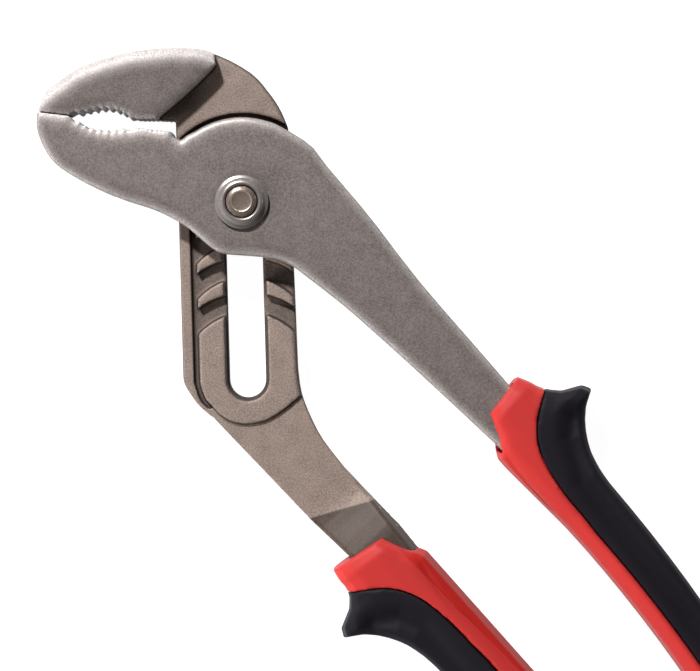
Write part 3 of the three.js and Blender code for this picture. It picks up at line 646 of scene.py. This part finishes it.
class PLIERS_OT_rear_forging(bpy.types.Operator):
    """Makes the rear arm with the upper jaw, the slot and the arc grooves"""

    bl_idname = "pliers.rear_forging"
    bl_label = "Rear forging"

    def execute(self, context):
        settings = context.scene.pliers_forgings
        piece = soft_skin("upper_jaw_arm", "rear_forging", settings.voxel, 2)
        ease_rim(piece, 13.0 * MM, 3.2 * MM, 0.45 * MM)
        # Painted shade darkens the rear arm's steep walls, where it also stands for forging scale
        material = steel_material("Blasted taupe steel", settings.rear_colour, contrast=2.3,
                                  roughness=0.6, metallic=0.2, bump_strength=0.75,
                                  wall_shade_and_scale=0.95, wear_and_sheen=0.3)
        bar_start = (DOWN_THE_BAR, 64.0 * MM, 4.0 * MM)
        above_the_land = (UP, 10.4 * MM, 0.5 * MM)
        # Painted highlight on the rear forging from 9.6 mm up to the jaw's flat top
        add_zone(material, UP, 9.6 * MM, 0.5 * MM, settings.crown_highlight_colour)
        add_zone(material, UP, 14.4 * MM, 0.9 * MM, settings.jaw_colour)
        # Darker colour of the rear bar towards its grip
        add_zone(material, DOWN_THE_BAR, 86.7 * MM, 0.5 * MM, settings.tang_colour)
        # Painted shade between 6.0 and 7.5 mm high, short of the bar
        add_zone(material, DOWN, -7.5 * MM, 0.4 * MM, settings.groove_shade_colour,
                 (DOWN, -6.0 * MM, 0.4 * MM), bar_start)
        # The edge wear and its painted highlight stop above the land
        end_past(material, "Edge wear and sheen", *above_the_land)
        # The painted wall shade stops above the land and where the bar begins
        end_past(material, "Wall shade and scale", *above_the_land)
        end_past(material, "Wall shade and scale", *bar_start)
        place_piece(piece, "upper_jaw_arm", "upper_arm", material)
        return {"FINISHED"}


class PLIERS_OT_front_forging(bpy.types.Operator):
    """Makes the front arm with the lower jaw and the round head"""

    bl_idname = "pliers.front_forging"
    bl_label = "Front forging"

    def execute(self, context):
        settings = context.scene.pliers_forgings
        piece = soft_skin("lower_jaw_arm", "front_forging", settings.voxel, 2)
        ease_rim(piece, 13.0 * MM, 4.6 * MM, 0.55 * MM)
        # Painted shade darkens the front arm's steep walls
        material = steel_material("Satin grey steel", settings.front_colour, contrast=1.9,
                                  roughness=0.48, metallic=0.4, bump_strength=0.6,
                                  wall_shade_and_scale=0.55, wear_and_sheen=0.1)
        # Painted sheen on every part of the front forging lower than 15.3 mm, its eased rim and
        # walls
        add_zone(material, DOWN, -15.3 * MM, 0.5 * MM, settings.rim_sheen_colour)
        place_piece(piece, "lower_jaw_arm", "lower_arm", material)
        return {"FINISHED"}


class PLIERS_OT_pivot(bpy.types.Operator):
    """Makes the bolt with its peened end and the round flanged nut"""

    bl_idname = "pliers.pivot"
    bl_label = "Bolt and nut"

    def execute(self, context):
        settings = context.scene.pliers_forgings
        bolt_finish = steel_material("Peened bolt steel", settings.bolt_colour, contrast=1.0,
                                     roughness=0.35, metallic=0.6, bump_strength=0.5)
        # The nut's rims get a strong painted highlight besides their wear
        nut_finish = steel_material("Turned nut steel", settings.nut_colour, contrast=0.4,
                                    roughness=0.32, metallic=0.65, bump_strength=0.2, wear_and_sheen=0.9)
        bolt = turned_piece("bolt", BOLT_PROFILE, bolt_finish)
        nut = turned_piece("nut", NUT_PROFILE, nut_finish)
        place_piece(bolt, "pivot_bolt", "pivot", bolt_finish)
        place_piece(nut, "pivot_nut", "pivot", nut_finish)
        return {"FINISHED"}


class PLIERS_OT_grips(bpy.types.Operator):
    """Makes both moulded grips, each a red core and a black cover"""

    bl_idname = "pliers.grips"
    bl_label = "Moulded grips"

    def execute(self, context):
        settings = context.scene.pliers_grips
        reds = {side: moulded_material(f"Red moulded plastic, {side}", settings.red, mottle=0.12,
                                       roughness=0.5, bump_strength=0.15, gloss=0.28)
                for side in ("front", "rear")}
        # Painted shade on the rear core's flank beyond its crease
        add_zone(reds["rear"], ACROSS_THE_GRIP, -35.8 * MM, 0.4 * MM, settings.shaded_flank_red)
        black = moulded_material("Black soft rubber", settings.black, mottle=0.25,
                                 roughness=0.6, bump_strength=0.35, gloss=0.22)
        for side, body in (("front", "lower_arm"), ("rear", "upper_arm")):
            core = soft_skin(f"{side}_grip_core", f"{side}_handle_core", settings.voxel, 4)
            cover = soft_skin(f"{side}_grip_cover", f"{side}_handle_cover", settings.voxel, 4)
            press_crease(core, CORE_CREASES[side], width=0.6, depth=0.8)
            press_crease(cover, COVER_CREASES[side], width=2.6, depth=1.5)
            place_piece(core, f"{side}_grip_core", body, reds[side])
            place_piece(cover, f"{side}_grip_cover", body, black)
        return {"FINISHED"}


class PLIERS_OT_stage(bpy.types.Operator):
    """Makes the white floor, the soft lamps and the camera straight above"""

    bl_idname = "pliers.stage"
    bl_label = "Stage"

    def execute(self, context):
        settings = context.scene.pliers_stage
        scene = context.scene
        scene.view_settings.view_transform = "Standard"
        middle = Vector((28.0 * MM, -36.6 * MM, GRIP_MIDDLE))

        camera_data = bpy.data.cameras.new("Camera")
        camera_data.lens = settings.lens
        camera_data.sensor_width = 36.0
        camera = bpy.data.objects.new("Camera", camera_data)
        camera.location = middle + Vector((0, 0, settings.camera_height))
        camera.rotation_euler = (0, 0, settings.camera_roll)
        scene.collection.objects.link(camera)
        scene.camera = camera

        add_lamp("Key lamp", Vector((-0.75, 1.66, 1.7)), middle, 0.2, settings.key_power, True)
        add_lamp("Crown lamp", Vector((-0.75, 0.75, 0.24)), middle, 0.35, settings.crown_power)
        add_lamp("Back lamp", Vector((0.45, 0.8, 0.15)), middle, 0.3, settings.back_power)
        add_lamp("Side lamp", Vector((-1.0, -0.05, 0.6)), middle, 0.4, settings.side_power)
        add_lamp("Rim lamp", Vector((-0.63, -0.47, 0.12)), middle, 0.4, settings.rim_power)
        make_floor()
        make_world(scene)
        return {"FINISHED"}


def add_lamp(name, location, target, size, power, glossy=False):
    data = bpy.data.lights.new(name, "AREA")
    data.energy = power
    data.size = size
    lamp = bpy.data.objects.new(name, data)
    lamp.visible_glossy = glossy
    lamp.location = target + location
    lamp.rotation_euler = (-location).to_track_quat("-Z", "Y").to_euler()
    bpy.context.scene.collection.objects.link(lamp)


def seen_directly(nodes, links):
    """1 for rays that show the background itself: camera, mirror and see-through rays."""
    path = nodes.new("ShaderNodeLightPath")
    total = path.outputs["Is Camera Ray"]
    for name in ("Is Glossy Ray", "Is Transmission Ray"):
        either = nodes.new("ShaderNodeMath")
        either.operation = "MAXIMUM"
        links.new(total, either.inputs[0])
        links.new(path.outputs[name], either.inputs[1])
        total = either.outputs[0]
    return total


def make_floor():
    mesh = bpy.data.meshes.new("Floor")
    reach = 2.0
    corners = [(x * reach, y * reach, -0.2 * MM) for x, y in ((-1, -1), (1, -1), (1, 1), (-1, 1))]
    mesh.from_pydata(corners, [], [(0, 1, 2, 3)])
    floor = bpy.data.objects.new("Floor", mesh)
    bpy.context.scene.collection.objects.link(floor)
    material = bpy.data.materials.new("White floor")
    material.use_nodes = True
    nodes, links = material.node_tree.nodes, material.node_tree.links
    shader = nodes["Principled BSDF"]
    shader.inputs["Base Color"].default_value = (0.25, 0.25, 0.25, 1)
    shader.inputs["Roughness"].default_value = 1.0
    shader.inputs["Emission Color"].default_value = (1, 1, 1, 1)
    glow = nodes.new("ShaderNodeMath")
    glow.operation = "MULTIPLY"
    glow.inputs[1].default_value = 0.96
    links.new(seen_directly(nodes, links), glow.inputs[0])
    links.new(glow.outputs[0], shader.inputs["Emission Strength"])
    mesh.materials.append(material)


def make_world(scene):
    world = bpy.data.worlds.new("Soft room")
    world.use_nodes = True
    scene.world = world
    background = world.node_tree.nodes["Background"]
    background.inputs["Color"].default_value = (1, 1, 1, 1)
    background.inputs["Strength"].default_value = 0.05


class PLIERS_PT_panel(bpy.types.Panel):
    """Lists the pieces of the pliers and their settings"""

    bl_idname = "PLIERS_PT_panel"
    bl_label = "Pliers"
    bl_space_type = "VIEW_3D"
    bl_region_type = "UI"
    bl_category = "Pliers"

    def draw(self, context):
        layout = self.layout
        for settings in SETTINGS:
            group = getattr(context.scene, settings)
            column = layout.column(align=True)
            for name in group.__annotations__:
                column.prop(group, name)
        for operator in OPERATORS:
            layout.operator(operator.bl_idname)


OPERATORS = (
    PLIERS_OT_stage,
    PLIERS_OT_rear_forging,
    PLIERS_OT_front_forging,
    PLIERS_OT_pivot,
    PLIERS_OT_grips,
)
SETTINGS = {
    "pliers_forgings": ForgingSettings,
    "pliers_grips": GripSettings,
    "pliers_stage": StageSettings,
}
CLASSES = (*SETTINGS.values(), *OPERATORS, PLIERS_PT_panel)


def register():
    for cls in CLASSES:
        bpy.utils.register_class(cls)
    for name, cls in SETTINGS.items():
        setattr(bpy.types.Scene, name, bpy.props.PointerProperty(type=cls))


def unregister():
    for name in SETTINGS:
        delattr(bpy.types.Scene, name)
    for cls in reversed(CLASSES):
        bpy.utils.unregister_class(cls)


def main():
    register()
    bpy.ops.pliers.stage()
    bpy.ops.pliers.rear_forging()
    bpy.ops.pliers.front_forging()
    bpy.ops.pliers.pivot()
    bpy.ops.pliers.grips()


if __name__ == "__main__":
    main()
